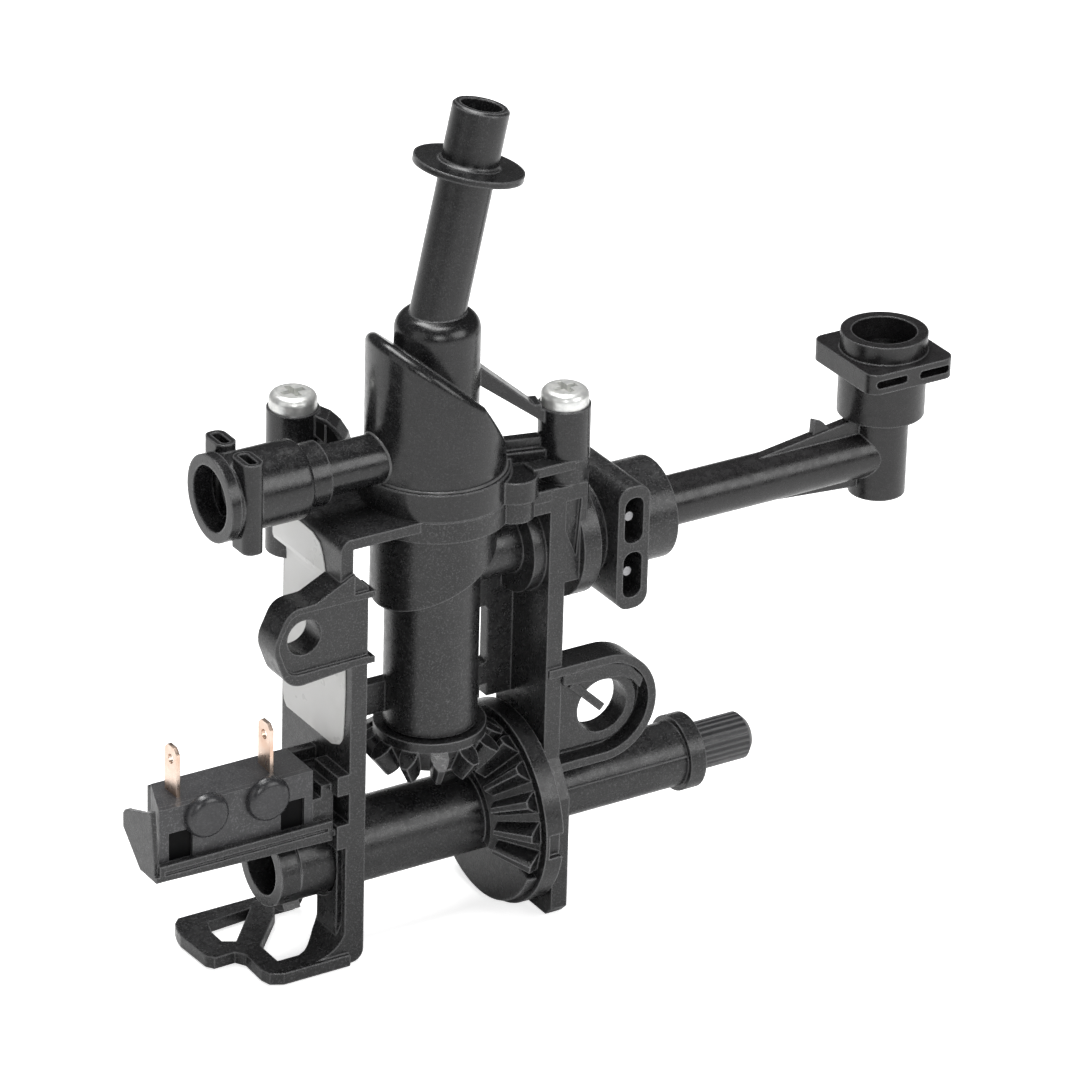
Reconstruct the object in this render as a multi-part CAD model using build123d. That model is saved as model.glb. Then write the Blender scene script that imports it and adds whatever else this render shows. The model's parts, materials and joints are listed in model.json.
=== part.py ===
from build123d import *
import os
from math import acos, atan, cos, degrees, hypot, pi, radians, sin, sqrt, tan

os.makedirs("parts", exist_ok=True)

# Diverter valve for hot water or steam, turned by a knob, with a position switch.
# All sizes are in millimetres. The pieces are laid out round one layout point, where the
# horizontal drive axis (X) crosses the vertical valve axis (Z); -Y is the open front.
# save() moves every piece so that the row's origin is the left lug's hole.

# ---------------------------------------------------------------- driving dimensions
RUN_FIT = 0.06            # radial clearance of a turning or sliding fit
SEAT_FIT = 0.04           # radial clearance of a piece that only sits in its seat
FACE_GAP = 0.25           # axial gap between a turning face and a fixed one

WALL_T = 2.2              # side walls of the bracket
LEFT_WALL_OUT = -15.0     # outer face of the left wall
RIGHT_WALL_IN = 12.0      # inner face of the right wall
FRONT_Y = -6.8            # front edge of both walls
LEFT_WALL_BACK = 9.3
LEFT_WALL_TOP_OUT = -16.6     # its upper part stands farther out
LEFT_WALL_TOP_IN = -14.9
LEFT_WALL_STEP_Z = 37.8
RIGHT_WALL_BACK = 4.4
BASE_Z = -12.3            # underside of the foot
FOOT_T = 1.5
FOOT_FRONT = -7.4
FOOT_BACK = 10.3
FOOT_FILLET = 4.5         # between the foot and the wall
# outlines seen from above: distance out from the wall, and Y
FOOT_OUTLINE = ((9.0, FOOT_FRONT), (10.5, -6.6), (10.9, -5.3), (10.8, -1.35), (11.6, -0.1),
                (14.4, -0.15), (15.1, 0.8), (15.4, 6.4), (15.1, 7.9), (14.6, 9.3), (13.6, FOOT_BACK))
FOOT_WINDOW = ((10.9, 7.7), (4.8, 8.2), (10.2, 2.1), (11.7, 2.95), (11.7, 5.4))
FOOT_OPENING = ((0.0, 0.0), (1.6, -1.2), (3.3, -3.0), (4.2, -3.8), (5.3, -4.4), (8.2, -4.4),
                (8.2, -0.2), (2.7, 5.9), (1.8, 7.6))
OPENING_TOP_Z = -6.5
PANEL = ((-5.4, -0.85), 3.3, 0.8)     # raised panel on the wall: Y limits, top, thickness
RIM_STRIP = (0.8, 0.4)    # strip along the wall's front edge: width, thickness
DECK_BACK_Y = 12.3
DECK_Z = 44.3             # top of the deck, where bracket and cover part
DECK_T = 1.3

# gear pair: bevel, apex at the layout point
MODULE = 1.3
PINION_TEETH = 12
GEAR_TEETH = 18
GEAR_TEETH_CUT = 8        # teeth of the sector that the gear really carries
TEETH_BEHIND = 2          # of them, teeth behind the mesh at rest
PRESSURE_ANGLE = 25.0
ADDENDUM = 0.8            # in modules
DEDENDUM = 1.05           # in modules
BACKLASH = 0.16           # taken off each tooth's thickness at the pitch line
GEAR_INNER = 0.64         # inner end of the gear teeth, as a share of the cone distance
PINION_INNER = 0.76
PINION_OUTER = 1.02
REST_TURN = 9.0           # degrees that the pinion's teeth stand turned at rest

# drive shaft
TUBE_R = 5.05
TUBE_BORE_R = 3.6
TUBE_END_X = -23.1        # the tube runs through the left wall, which is its bearing
DISC_R = 12.6             # disc that backs the gear teeth
DISC_T = 2.4
SHAFT_R = 3.2             # knob shaft inside the sleeve
SPINDLE_R = 3.0           # its serrated end
SPINDLE_END_X = 45.4
SPINDLE_CHAMFER = 0.8
SERRATION_LENGTH = 8.2
SERRATIONS = 24
SQUARE_SIDE = 4.2         # spindle's driving square
SQUARE_LENGTH = 6.0
SLEEVE_R = 4.1
SLEEVE_END_X = 37.0
COLLAR_R = 4.8
COLLAR_T = 2.2

# cam and switch
CAM_RISE = 0.7            # rise of the cam groove's floor over the knob's travel
KNOB_TRAVEL = 90.0        # degrees
CAM_X = -21.6
CAM_T = 2.6
STOP_LOBE_R = 6.0
STOP_LOBE = (150.0, 215.0)    # its ends, in degrees from the top over the front
PLUNGER_R = 0.9
PLUNGER_ROUND = 0.5
SWITCH_LENGTH = 20.6
SWITCH_DEPTH = 6.4
SWITCH_HEIGHT = 8.2
SWITCH_RIGHT_X = -19.1
SWITCH_FRONT_Y = -5.2
SWITCH_CORNER = 2.4       # slanted left end
RECESS = (3.2, 3.9)       # windows in the switch's front
RECESS_AT = (2.9, 17.9)   # from its left end
RECESS_TOP_Z = 11.0
SWITCH_COVER_T = 0.8
SWITCH_WALL = 0.9
PIN_SPACING = 8.2         # between the two round-headed pins
PIN_R = 1.1
PIN_HEAD_R = 2.85
PIN_HEAD_T = 1.3
TERMINAL_SPACING = 12.5
TERMINAL_W = 2.8
TERMINAL_T = 0.5
TERMINAL_REACH = 6.2      # above the case
TRAY_FLOOR_Z = 6.1        # the switch stands on it
TRAY_T = 0.7
TRAY_LIP_T = 1.0
TRAY_LIP_TOP_Z = 7.4
TRAY_BACK_T = 1.2
STOP_BLOCK_X = -16.3      # right face of the block beside the switch
STOP_BLOCK_TOP_Z = 11.9
TRAY_WEBS = ((3.6, 6.8), (10.8, 13.4))    # webs from that block to the wall's front edge

# valve body
BODY_R = 5.7              # lower cylinder
BODY_BOTTOM_Z = 14.2
SKIRT_R = 7.5
SKIRT_MID_Z = 34.5        # slanted lower edge of the skirt, on the axis
SKIRT_SLOPE = 25.0        # degrees
FLANGE_R = 9.0
FLANGE_T = 2.7
LOBE_AT = (7.5, -5.5)
LOBE_R = 3.0
CHAMBER_R = 6.4
CHAMBER_FLOOR_Z = 38.7
WELL_R = 4.2              # narrower well under the chamber, which the side outlet leaves
WELL_FLOOR_Z = 32.6
STEM_R = 2.5
O_RING_WIRE_R = 0.5

# water ways
OUTLET_Z = 35.0           # axis of the side outlet
OUTLET_BORE_R = 2.0
SOCKET_R = 6.3
SOCKET_BORE_R = 4.2
SOCKET_END_X = 30.5
SOCKET_FLOOR_X = 16.8
CLIP_X = 22.6             # middle of the clip slots
CLIP_WIRE_R = 0.6
BLOCK_W = 4.4
BLOCK_H = 16.2
BLOCK_DEPTH = 17.2
SLOT_W = 2.6
SLOT_L = 6.0
SLOT_GAP = 1.2

INLET_Z = 50.3            # axis of the left port
INLET_END_X = -30.2
INLET_R = 4.8
INLET_RIM_R = 5.3
INLET_BODY_END_X = -18.6
PORT_BORE_R = 4.0
PORT_DEPTH = 10.0
OUTLET_PORT_DEPTH = 9.4
INLET_TUBE_R = 3.05
INLET_COLLAR_R = 3.9
INLET_COLLAR_END_X = -16.0
INLET_CLIP_X = -27.0      # two upright columns beside the port carry the clip slots
COLUMN = (2.6, 4.2, 11.4)
COLUMN_Y = 3.2
COLUMN_SLOT = (1.1, 3.0)

ELBOW_X = 63.7
PIPE_R = 3.1
PIPE_BORE_R = 2.0
RISER_R = 3.55
RISER_BOTTOM_Z = 29.4
ELBOW_COLLAR_R = 5.4
ELBOW_COLLAR_Z = 40.2
TOP_PORT_Z = 50.9
TOP_PLATE_Z = 46.0
TOP_PLATE_T = 2.6

# cover
COVER_FLANGE_R = 9.0
COVER_FLANGE_T = 3.6
DOME_R = 8.4
DOME_MID_Z = 59.4         # slanted top of the dome, on the axis
DOME_SLOPE = 40.0         # degrees
SHOULDER_AT = (4.0, 54.9)     # X and Z of a point on the steeper cut at its right
SHOULDER_SLOPE = 55.0     # degrees
BULB_R = 5.1
BULB_TOP_Z = 67.5
SPOUT_TILT = 12.2         # degrees towards +X
SPOUT_R = 3.3
SPOUT_BORE_R = 2.5
SPOUT_LENGTH = 25.3
BARREL_R = 3.4            # hose end above the disc
BARREL_CHAMFER = 0.3
SPOUT_FLANGE_AT = 17.8    # from the spout's foot
SPOUT_FLANGE_R = 6.6
SPOUT_FLANGE_T = 0.8
SCREW_BOSS_R = 3.15
POST_TOP_Z = 47.2         # top of the bracket's post under the right screw
SCREW_TOP_Z = 53.7
SCREW_R = 1.5
SCREW_LENGTH = 15.0
SCREW_HEAD_R = 2.9
SCREW_HEAD_T = 2.0
RIGHT_SCREW = (15.5, -3.65)
LEFT_SCREW = (-13.1, 10.7)

# mounting lugs
LEFT_LUG = (-21.4, 33.2)  # X and Z of the hole
LEFT_LUG_HOLE_R = 2.25
# its outline from the hole's centre, each point with its corner radius
LEFT_LUG_OUTLINE = ((-2.4, -6.1, 2.8), (-4.5, -0.4, 3.5), (-2.3, 4.1, 2.4), (1.2, 4.2, 2.0))
LEFT_LUG_FACE = ((-2.2, -4.5, 2.0), (-3.75, -0.3, 2.6), (-1.9, 3.4, 1.8))
LEFT_LUG_ROOT_Z = (27.9, 40.0)    # where that outline meets the wall
RIGHT_LUG = (20.4, 13.3)
RIGHT_LUG_R = 7.1
RIGHT_LUG_HOLE_R = 3.5
LUG_FRONT_Y = -7.3
LUG_T = 4.0
LEFT_LUG_SINK = 0.5       # the left lug's face lies this deep inside its rim
BOSS_SINK = 1.0           # ring round the right lug's hole, behind the rim

# ---------------------------------------------------------------- values worked out
LEFT_WALL_IN = LEFT_WALL_OUT + WALL_T
RIGHT_WALL_OUT = RIGHT_WALL_IN + WALL_T
DISC_BACK_X = RIGHT_WALL_IN - 2 * FACE_GAP
DISC_FRONT_X = DISC_BACK_X - DISC_T
SHOULDER_X = SLEEVE_END_X + FACE_GAP
PINION_ANGLE = degrees(atan(PINION_TEETH / GEAR_TEETH))
GEAR_ANGLE = 90.0 - PINION_ANGLE
PINION_PITCH_R = MODULE * PINION_TEETH / 2
GEAR_PITCH_R = MODULE * GEAR_TEETH / 2
CONE_DISTANCE = hypot(PINION_PITCH_R, GEAR_PITCH_R)
COVER_TOP_Z = DECK_Z + COVER_FLANGE_T
SWITCH_LEFT_X = SWITCH_RIGHT_X - SWITCH_LENGTH
SWITCH_BACK_Y = SWITCH_FRONT_Y + SWITCH_DEPTH
SWITCH_TOP_Z = TRAY_FLOOR_Z + SWITCH_HEIGHT
SWITCH_MID_X = (SWITCH_LEFT_X + SWITCH_RIGHT_X) / 2
PIN_Z = SWITCH_TOP_Z - 1.95
TRAY_FRONT_Y = SWITCH_FRONT_Y - TRAY_LIP_T
TRAY_LEFT_X = SWITCH_LEFT_X - 0.9
TRAY_LOW_Z = TRAY_FLOOR_Z - TRAY_T
TRAY_BACK_Y = SWITCH_BACK_Y + TRAY_BACK_T
CAM_LOW_R = TUBE_R - CAM_RISE
TERMINAL_Y = SWITCH_FRONT_Y + SWITCH_COVER_T + 2.6
# the plunger's rounded foot meets the cam this far from the shaft's middle plane
TOUCH_Y = TERMINAL_Y + PLUNGER_R - PLUNGER_ROUND
PLUNGER_LOW_Z = sqrt(CAM_LOW_R ** 2 - TOUCH_Y ** 2) + 0.1
PLUNGER_RISE = sqrt(TUBE_R ** 2 - TOUCH_Y ** 2) - sqrt(CAM_LOW_R ** 2 - TOUCH_Y ** 2)
PLUNGER_ANGLE = degrees(atan(-TERMINAL_Y / PLUNGER_LOW_Z))
DATUM = (LEFT_LUG[0], LUG_FRONT_Y + LUG_T / 2, LEFT_LUG[1])

nodes = {}


# ---------------------------------------------------------------- small helpers
def box(x, y, z):
    """Box from pairs of limits."""
    size = Box(x[1] - x[0], y[1] - y[0], z[1] - z[0])
    return Pos((x[0] + x[1]) / 2, (y[0] + y[1]) / 2, (z[0] + z[1]) / 2) * size


def rod_x(r, x0, x1, y=0.0, z=0.0):
    return Pos((x0 + x1) / 2, y, z) * Rot(0, 90, 0) * Cylinder(r, x1 - x0)


def rod_y(r, y0, y1, x=0.0, z=0.0):
    return Pos(x, (y0 + y1) / 2, z) * Rot(90, 0, 0) * Cylinder(r, y1 - y0)


def rod_z(r, z0, z1, x=0.0, y=0.0):
    return Pos(x, y, (z0 + z1) / 2) * Cylinder(r, z1 - z0)


def prism(points, axis, lo, hi):
    """Straight prism of a polygon that is given in the two axes across `axis`."""
    place = {"X": lambda a, b: (lo, a, b), "Y": lambda a, b: (a, lo, b), "Z": lambda a, b: (a, b, lo)}
    run = {"X": (hi - lo, 0, 0), "Y": (0, hi - lo, 0), "Z": (0, 0, hi - lo)}
    outline = Wire.make_polygon([place[axis](a, b) for a, b in points], close=True)
    return Solid.extrude(Face(outline), Vector(run[axis]))


def ring_of_revolution(profile, axis):
    """Solid of revolution of an (r, h) outline about Z or X through the layout point."""
    if axis == "Z":
        outline = Wire.make_polygon([(r, 0, h) for r, h in profile], close=True)
        return revolve(Face(outline), Axis.Z)
    outline = Wire.make_polygon([(h, r, 0) for r, h in profile], close=True)
    return revolve(Face(outline), Axis.X)


def stadium(centre, r, reach, y0, y1):
    """Lug outline across Y: a round end at `centre` that runs on to X = reach."""
    x, z = centre
    return rod_y(r, y0, y1, x, z) + box(sorted((x, reach)), (y0, y1), (z - r, z + r))


def o_ring(middle_r, wire_r, at, axis):
    ring = Torus(middle_r, wire_r)
    if axis == "X":
        return Pos(at, 0, OUTLET_Z) * Rot(0, 90, 0) * ring
    return Pos(0, 0, at) * ring


def save(name, shape):
    nodes[name] = shape
    export_step(Pos(-DATUM[0], -DATUM[1], -DATUM[2]) * shape, f"parts/{name}.step")


# ---------------------------------------------------------------- bevel gear teeth
def flank(teeth, cone_angle, height):
    """Half thickness of a tooth at a height above the pitch cone, from the involute of the
    spur gear that the back cone unrolls to."""
    pitch_r = MODULE * teeth / 2 / cos(radians(cone_angle))
    base_r = pitch_r * cos(radians(PRESSURE_ANGLE))
    r = max(pitch_r + height, base_r)
    roll = acos(base_r / r)
    pitch_roll = radians(PRESSURE_ANGLE)
    half = (pi * MODULE / 2 - BACKLASH) / 2 / pitch_r
    half += tan(pitch_roll) - pitch_roll - (tan(roll) - roll)
    return (pitch_r + height) * sin(half)


def tooth_wedge(teeth, cone_angle, inner, outer):
    """One tooth along +X of a gear on the Z axis: a wedge whose sides all aim at the apex."""
    heights = [-DEDENDUM - 0.25, -0.5, 0.1, 0.45, ADDENDUM]
    side = [(flank(teeth, cone_angle, h * MODULE), h * MODULE) for h in heights]
    outline = [(u, v) for u, v in side] + [(-u, v) for u, v in reversed(side)]
    a = radians(cone_angle)
    along = Vector(sin(a), 0, cos(a))
    up = Vector(cos(a), 0, -sin(a))
    across = Vector(0, 1, 0)

    def section(share):
        points = [(along * CONE_DISTANCE + across * u + up * v) * share for u, v in outline]
        return Wire.make_polygon(points, close=True)

    return Solid.make_loft([section(inner), section(outer)], ruled=True)


def cone_ring(cone_angle, low, high, inner, outer):
    """Ring between two cones through the apex region, for a gear on the Z axis; low and high
    are heights over the pitch cone at its full cone distance."""
    a = radians(cone_angle)

    def point(share, height):
        r = share * (CONE_DISTANCE * sin(a) + height * cos(a))
        h = share * (CONE_DISTANCE * cos(a) - height * sin(a))
        return (r, h)

    return [point(inner, low), point(outer, low), point(outer, high), point(inner, high)]


def toothed_ring(teeth, cone_angle, inner, outer, numbers, phase):
    """Separate teeth, set round Z at `phase` plus whole pitches."""
    wedge = tooth_wedge(teeth, cone_angle, inner, outer)
    pitch = 360.0 / teeth
    return [Rot(0, 0, phase + number * pitch) * wedge for number in numbers]


def make_pinion():
    root = -DEDENDUM * MODULE
    a = radians(PINION_ANGLE)
    teeth = toothed_ring(PINION_TEETH, PINION_ANGLE, PINION_INNER, PINION_OUTER,
                         range(PINION_TEETH), REST_TURN)
    ring = cone_ring(PINION_ANGLE, root, root, PINION_INNER, PINION_OUTER)
    low_r, low_z = ring[0]
    top_r, top_z = ring[1]
    hub_top = BODY_BOTTOM_Z - FACE_GAP
    body = ring_of_revolution([(0, low_z), (low_r, low_z), (top_r, top_z), (top_r, hub_top),
                               (0, hub_top)], "Z")
    for tooth in teeth:
        body += tooth
    body &= rod_z(PINION_PITCH_R + 2.2, low_z - 1.6, hub_top)
    return body - stem_end(SEAT_FIT)


def make_drive_gear():
    """Hollow shaft with the toothed disc. The teeth are made on Z and turned to the X axis."""
    root = -DEDENDUM * MODULE
    half_pitch = 180.0 / GEAR_TEETH
    numbers = range(-TEETH_BEHIND, GEAR_TEETH_CUT - TEETH_BEHIND)
    phase = half_pitch - REST_TURN * PINION_TEETH / GEAR_TEETH
    teeth = toothed_ring(GEAR_TEETH, GEAR_ANGLE, GEAR_INNER, 1.02, numbers, phase)
    # local +X of the tooth wedge becomes +Z, local Z becomes the shaft's +X, and counting
    # goes from the top over the front
    turn = Plane(origin=(0, 0, 0), x_dir=(0, 0, 1), z_dir=(1, 0, 0)).location
    ring = cone_ring(GEAR_ANGLE, root, root, GEAR_INNER, 1.02)
    low_r, low_x = ring[0]
    top_r, top_x = ring[1]
    first = numbers[0] * 2 * half_pitch + phase - half_pitch
    sweep = len(numbers) * 2 * half_pitch
    cone = ring_of_revolution([(TUBE_R - 0.5, low_x - 0.6), (low_r - 0.8, low_x - 0.6),
                               (low_r, low_x), (top_r, top_x), (DISC_R, DISC_FRONT_X),
                               (DISC_R, DISC_FRONT_X + 0.2), (TUBE_R - 0.5, DISC_FRONT_X + 0.2)],
                              "X")
    body = rod_x(DISC_R, DISC_FRONT_X, DISC_BACK_X) + cone
    for tooth in teeth:
        body += turn * tooth
    body &= rod_x(DISC_R, 0, DISC_BACK_X)
    # plain part of the disc, where the sector has no teeth
    span = 360.0 - sweep
    middle = radians(first + sweep + span / 2)
    reach = 2 * DISC_R
    edge = [radians(first + sweep + step * span / 4) for step in range(5)]
    plain = [(0.0, 0.0)] + [(-reach * sin(e), reach * cos(e)) for e in edge]
    body -= prism(plain, "X", 0.0, DISC_FRONT_X) - rod_x(TUBE_R - 0.2, 0, DISC_FRONT_X)
    # notch in the rim that shows the position
    notch = box((DISC_FRONT_X + 0.5, DISC_BACK_X), (-1.6, 1.6), (DISC_R - 0.9, DISC_R + 1))
    body -= Rot(92, 0, 0) * notch
    body += rod_x(TUBE_R, TUBE_END_X, DISC_FRONT_X + 0.1)
    body -= make_cam_groove()
    body += make_stop_lobe()
    floor_x = DISC_BACK_X - SQUARE_LENGTH
    body -= rod_x(TUBE_BORE_R, TUBE_END_X - 1, floor_x - 1.2)
    body -= spindle_square(floor_x, DISC_BACK_X + 1, 0.0)
    return body


def ring_point(r, angle):
    """Y and Z at a radius and an angle from the top over the front."""
    return (-r * sin(radians(angle)), r * cos(radians(angle)))


def make_cam_groove():
    """Groove whose floor rises evenly with the angle, so that the plunger rises evenly."""
    steps = 12
    start = PLUNGER_ANGLE
    over = TUBE_R + 1
    floor = [ring_point(CAM_LOW_R, start - 34.0), ring_point(CAM_LOW_R, start - 17.0)]
    roof = [ring_point(over, start - 34.0), ring_point(over, start - 17.0)]
    for step in range(steps + 1):
        angle = start + step * KNOB_TRAVEL / steps
        floor.append(ring_point(CAM_LOW_R + CAM_RISE * step / steps, angle))
        roof.append(ring_point(over, angle))
    return prism(floor + roof[::-1], "X", CAM_X - CAM_T / 2, CAM_X + CAM_T / 2)


def make_stop_lobe():
    """Low stop under the tube, beside the cam groove."""
    low, high = STOP_LOBE
    steps = 5
    points = [ring_point(STOP_LOBE_R, low + step * (high - low) / steps) for step in range(steps + 1)]
    points += [ring_point(TUBE_BORE_R + 0.3, high), ring_point(TUBE_BORE_R + 0.3, low)]
    return prism(points, "X", CAM_X + 0.1, CAM_X + CAM_T - 0.3)


def spindle_square(x0, x1, clearance):
    half = SQUARE_SIDE / 2 + clearance
    return box((x0, x1), (-half, half), (-half, half))


def make_spindle():
    body = rod_x(SPINDLE_R, DISC_BACK_X, SPINDLE_END_X)
    body = chamfer(body.edges().group_by(Axis.X)[-1], SPINDLE_CHAMFER)
    body += rod_x(SHAFT_R, DISC_BACK_X, SHOULDER_X)
    body += spindle_square(DISC_BACK_X - SQUARE_LENGTH, DISC_BACK_X, 0.0)
    start = SPINDLE_END_X - SERRATION_LENGTH
    depth = 0.16
    groove = prism([(-0.12, SPINDLE_R + 0.05), (0.12, SPINDLE_R + 0.05), (0, SPINDLE_R - depth)],
                   "X", start, SPINDLE_END_X + 1)
    grooves = [Rot(step * 360.0 / SERRATIONS, 0, 0) * groove for step in range(SERRATIONS)]
    return body - grooves


# ---------------------------------------------------------------- valve insert
def stem_end(clearance):
    """Flatted lower end of the stem, which drives the pinion."""
    r = STEM_R - 0.4 + clearance
    flat = r - 0.7
    bottom = 8.0
    end = rod_z(r, bottom, BODY_BOTTOM_Z - FACE_GAP + 0.01)
    return end - box((flat, r + 1), (-r, r), (bottom - 1, BODY_BOTTOM_Z - FACE_GAP + 1))


DISC_FILM = 0.03          # water film between the two ceramic discs
DISC_STONE_T = 2.0        # thickness of each ceramic disc
STONE_R = 5.9
HEAD_T = 2.2
SEAL_T = 0.8
WAY_AT = 3.3              # the two ways through the fixed disc, from the valve axis
WAY_R = 1.5
MOVING_TOP_Z = DECK_Z - DISC_FILM
MOVING_LOW_Z = MOVING_TOP_Z - DISC_STONE_T
HEAD_LOW_Z = MOVING_LOW_Z - HEAD_T
GROOVES_Z = (30.0, 26.5)  # stem seals
STEM_SEAL_R = STEM_R + 0.04 - O_RING_WIRE_R


def make_rotor():
    body = rod_z(STONE_R, HEAD_LOW_Z, MOVING_LOW_Z)
    body += rod_z(STEM_R, BODY_BOTTOM_Z - FACE_GAP, HEAD_LOW_Z + 0.1)
    body += stem_end(0.0)
    for z in GROOVES_Z:
        groove_r = STEM_SEAL_R - O_RING_WIRE_R
        half = O_RING_WIRE_R + 0.1
        body -= rod_z(STEM_R + 1, z - half, z + half) - rod_z(groove_r, z - 2, z + 2)
    # two dogs that stand up into the moving disc
    for side in (-1, 1):
        body += box((-1.2, 1.2), sorted((side * 4.0, side * 5.4)),
                    (MOVING_LOW_Z - 0.1, MOVING_LOW_Z + 1.4))
    # way through the head to the well below
    return body - rod_z(WAY_R, HEAD_LOW_Z - 0.6, MOVING_LOW_Z + 1, WAY_AT)


def make_moving_disc():
    body = rod_z(STONE_R - 0.2, MOVING_LOW_Z, MOVING_TOP_Z)
    for side in (-1, 1):
        body -= box((-1.2 - SEAT_FIT, 1.2 + SEAT_FIT), sorted((side * 3.96, side * 7.0)),
                    (MOVING_LOW_Z - 1, MOVING_LOW_Z + 1.4 + SEAT_FIT))
    return body - rod_z(WAY_R, MOVING_LOW_Z - 1, MOVING_TOP_Z + 1, WAY_AT)


def make_fixed_disc():
    body = rod_z(CHAMBER_R - 0.3, DECK_Z, DECK_Z + DISC_STONE_T)
    for side in (-1, 1):
        body -= rod_z(WAY_R, DECK_Z - 1, DECK_Z + DISC_STONE_T + 1, side * WAY_AT)
    return body


def make_disc_seal():
    low = DECK_Z + DISC_STONE_T
    body = rod_z(CHAMBER_R - 0.3, low, low + SEAL_T)
    for side in (-1, 1):
        body -= rod_z(WAY_R, low - 1, low + SEAL_T + 1, side * WAY_AT)
    return body


def make_thrust_spring():
    """Cone spring under the rotor head, which keeps the discs together."""
    low = CHAMBER_FLOOR_Z
    high = HEAD_LOW_Z - 0.04
    t = 0.35
    return ring_of_revolution([(5.9, low), (6.2, low), (6.2, low + t), (4.9, high),
                               (4.6, high), (4.6, high - t)], "Z")


# ---------------------------------------------------------------- bracket
def clip_slots(across_r):
    """The two long slots of a clip block, cut along Y beside the bore."""
    cut = None
    for side in (-1, 1):
        low = OUTLET_Z + side * SLOT_GAP / 2
        high = OUTLET_Z + side * (SLOT_GAP / 2 + SLOT_L)
        slot = box((CLIP_X - SLOT_W / 2, CLIP_X + SLOT_W / 2),
                   (-BLOCK_DEPTH, BLOCK_DEPTH), sorted((low, high)))
        slot = fillet(slot.edges().filter_by(Axis.Y), SLOT_W / 2 - 0.1)
        cut = slot if cut is None else cut + slot
    return cut - rod_x(across_r, CLIP_X - SLOT_W, CLIP_X + SLOT_W, z=OUTLET_Z)


def make_side_walls():
    step = LEFT_WALL_IN - LEFT_WALL_TOP_IN
    profile = [(LEFT_WALL_OUT, BASE_Z), (LEFT_WALL_IN, BASE_Z), (LEFT_WALL_IN, LEFT_WALL_STEP_Z),
               (LEFT_WALL_TOP_IN, LEFT_WALL_STEP_Z + step), (LEFT_WALL_TOP_IN, DECK_Z),
               (LEFT_WALL_TOP_OUT, DECK_Z), (LEFT_WALL_TOP_OUT, LEFT_WALL_STEP_Z + 0.6),
               (LEFT_WALL_OUT, LEFT_WALL_STEP_Z - 1.0)]
    left = prism(profile, "Y", FRONT_Y, LEFT_WALL_BACK)
    rounded = left.edges().filter_by(Axis.Y).group_by(Axis.Z)
    left = fillet(rounded[0].sort_by(Axis.X)[-1], 1.6)
    top = left.edges().filter_by(Axis.Y).group_by(Axis.Z)[-1].sort_by(Axis.X)[0]
    left = fillet(top, 1.6)
    (panel_front, panel_back), panel_top, panel_t = PANEL
    panel = box((LEFT_WALL_OUT - panel_t, LEFT_WALL_OUT + 0.1), (panel_front, panel_back),
                (BASE_Z + FOOT_T, panel_top))
    left += fillet(panel.edges().filter_by(Axis.X).group_by(Axis.Z)[-1], 1.4)
    strip_w, strip_t = RIM_STRIP
    left += box((LEFT_WALL_OUT - strip_t, LEFT_WALL_OUT + 0.1), (FRONT_Y, FRONT_Y + strip_w),
                (BASE_Z + FOOT_T, TRAY_WEBS[0][0]))
    leg_front = FRONT_Y - 2.6
    right = prism([(leg_front, BASE_Z + 1.2), (leg_front + 1.2, BASE_Z), (-4.2, BASE_Z),
                   (-3.2, BASE_Z + 1.0), (-3.2, -7.2), (1.6, -6.0), (RIGHT_WALL_BACK, -3.0),
                   (RIGHT_WALL_BACK, DECK_Z), (FRONT_Y, DECK_Z), (FRONT_Y, 8.1),
                   (leg_front, 3.8)], "X", RIGHT_WALL_IN, RIGHT_WALL_OUT)
    return left + right


def make_foot():
    """Plate that turns out to the left at the foot of the left wall."""
    wall = LEFT_WALL_OUT + 0.1
    top = BASE_Z + FOOT_T

    def plan(points):
        return [(LEFT_WALL_OUT - out, y) for out, y in points]

    outline = [(wall, FOOT_FRONT), *plan(FOOT_OUTLINE), (wall, FOOT_BACK)]
    plate = prism(outline, "Z", BASE_Z, top)
    plate = fillet(plate.edges().filter_by(Axis.Z).sort_by(Axis.X)[:4], 0.8)
    plate -= prism(plan(FOOT_WINDOW), "Z", BASE_Z - 1, top + 1)
    root = box((LEFT_WALL_OUT - FOOT_FILLET, wall), (FRONT_Y, LEFT_WALL_BACK),
               (top - 0.1, top + FOOT_FILLET))
    root -= rod_y(FOOT_FILLET, FRONT_Y - 1, LEFT_WALL_BACK + 1, LEFT_WALL_OUT - FOOT_FILLET,
                  top + FOOT_FILLET)
    return plate + root


def foot_opening():
    """Opening that runs through the foot and up into the left wall."""
    inner = LEFT_WALL_IN + 1
    points = [(LEFT_WALL_OUT - out, y) for out, y in FOOT_OPENING]
    back_y = FOOT_OPENING[-1][1]
    front_y = FOOT_OPENING[0][1]
    return prism([(inner, front_y), *points, (inner, back_y)], "Z", BASE_Z - 1, OPENING_TOP_Z)


def make_body_shell():
    """Lower valve body with its skirt, flange and front lobe."""
    body = rod_z(BODY_R, BODY_BOTTOM_Z, DECK_Z - FLANGE_T)
    skirt = rod_z(SKIRT_R, SKIRT_MID_Z - 6, DECK_Z - FLANGE_T + 0.1)
    below = Pos(0, 0, SKIRT_MID_Z) * Rot(0, -SKIRT_SLOPE, 0) * Pos(0, 0, -15) * Box(60, 60, 30)
    body += skirt - below
    flange = rod_z(FLANGE_R, DECK_Z - FLANGE_T, DECK_Z)
    lobe = rod_z(LOBE_R - 0.5, DECK_Z - FLANGE_T, DECK_Z, *LOBE_AT)
    return body + flange + lobe


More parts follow.
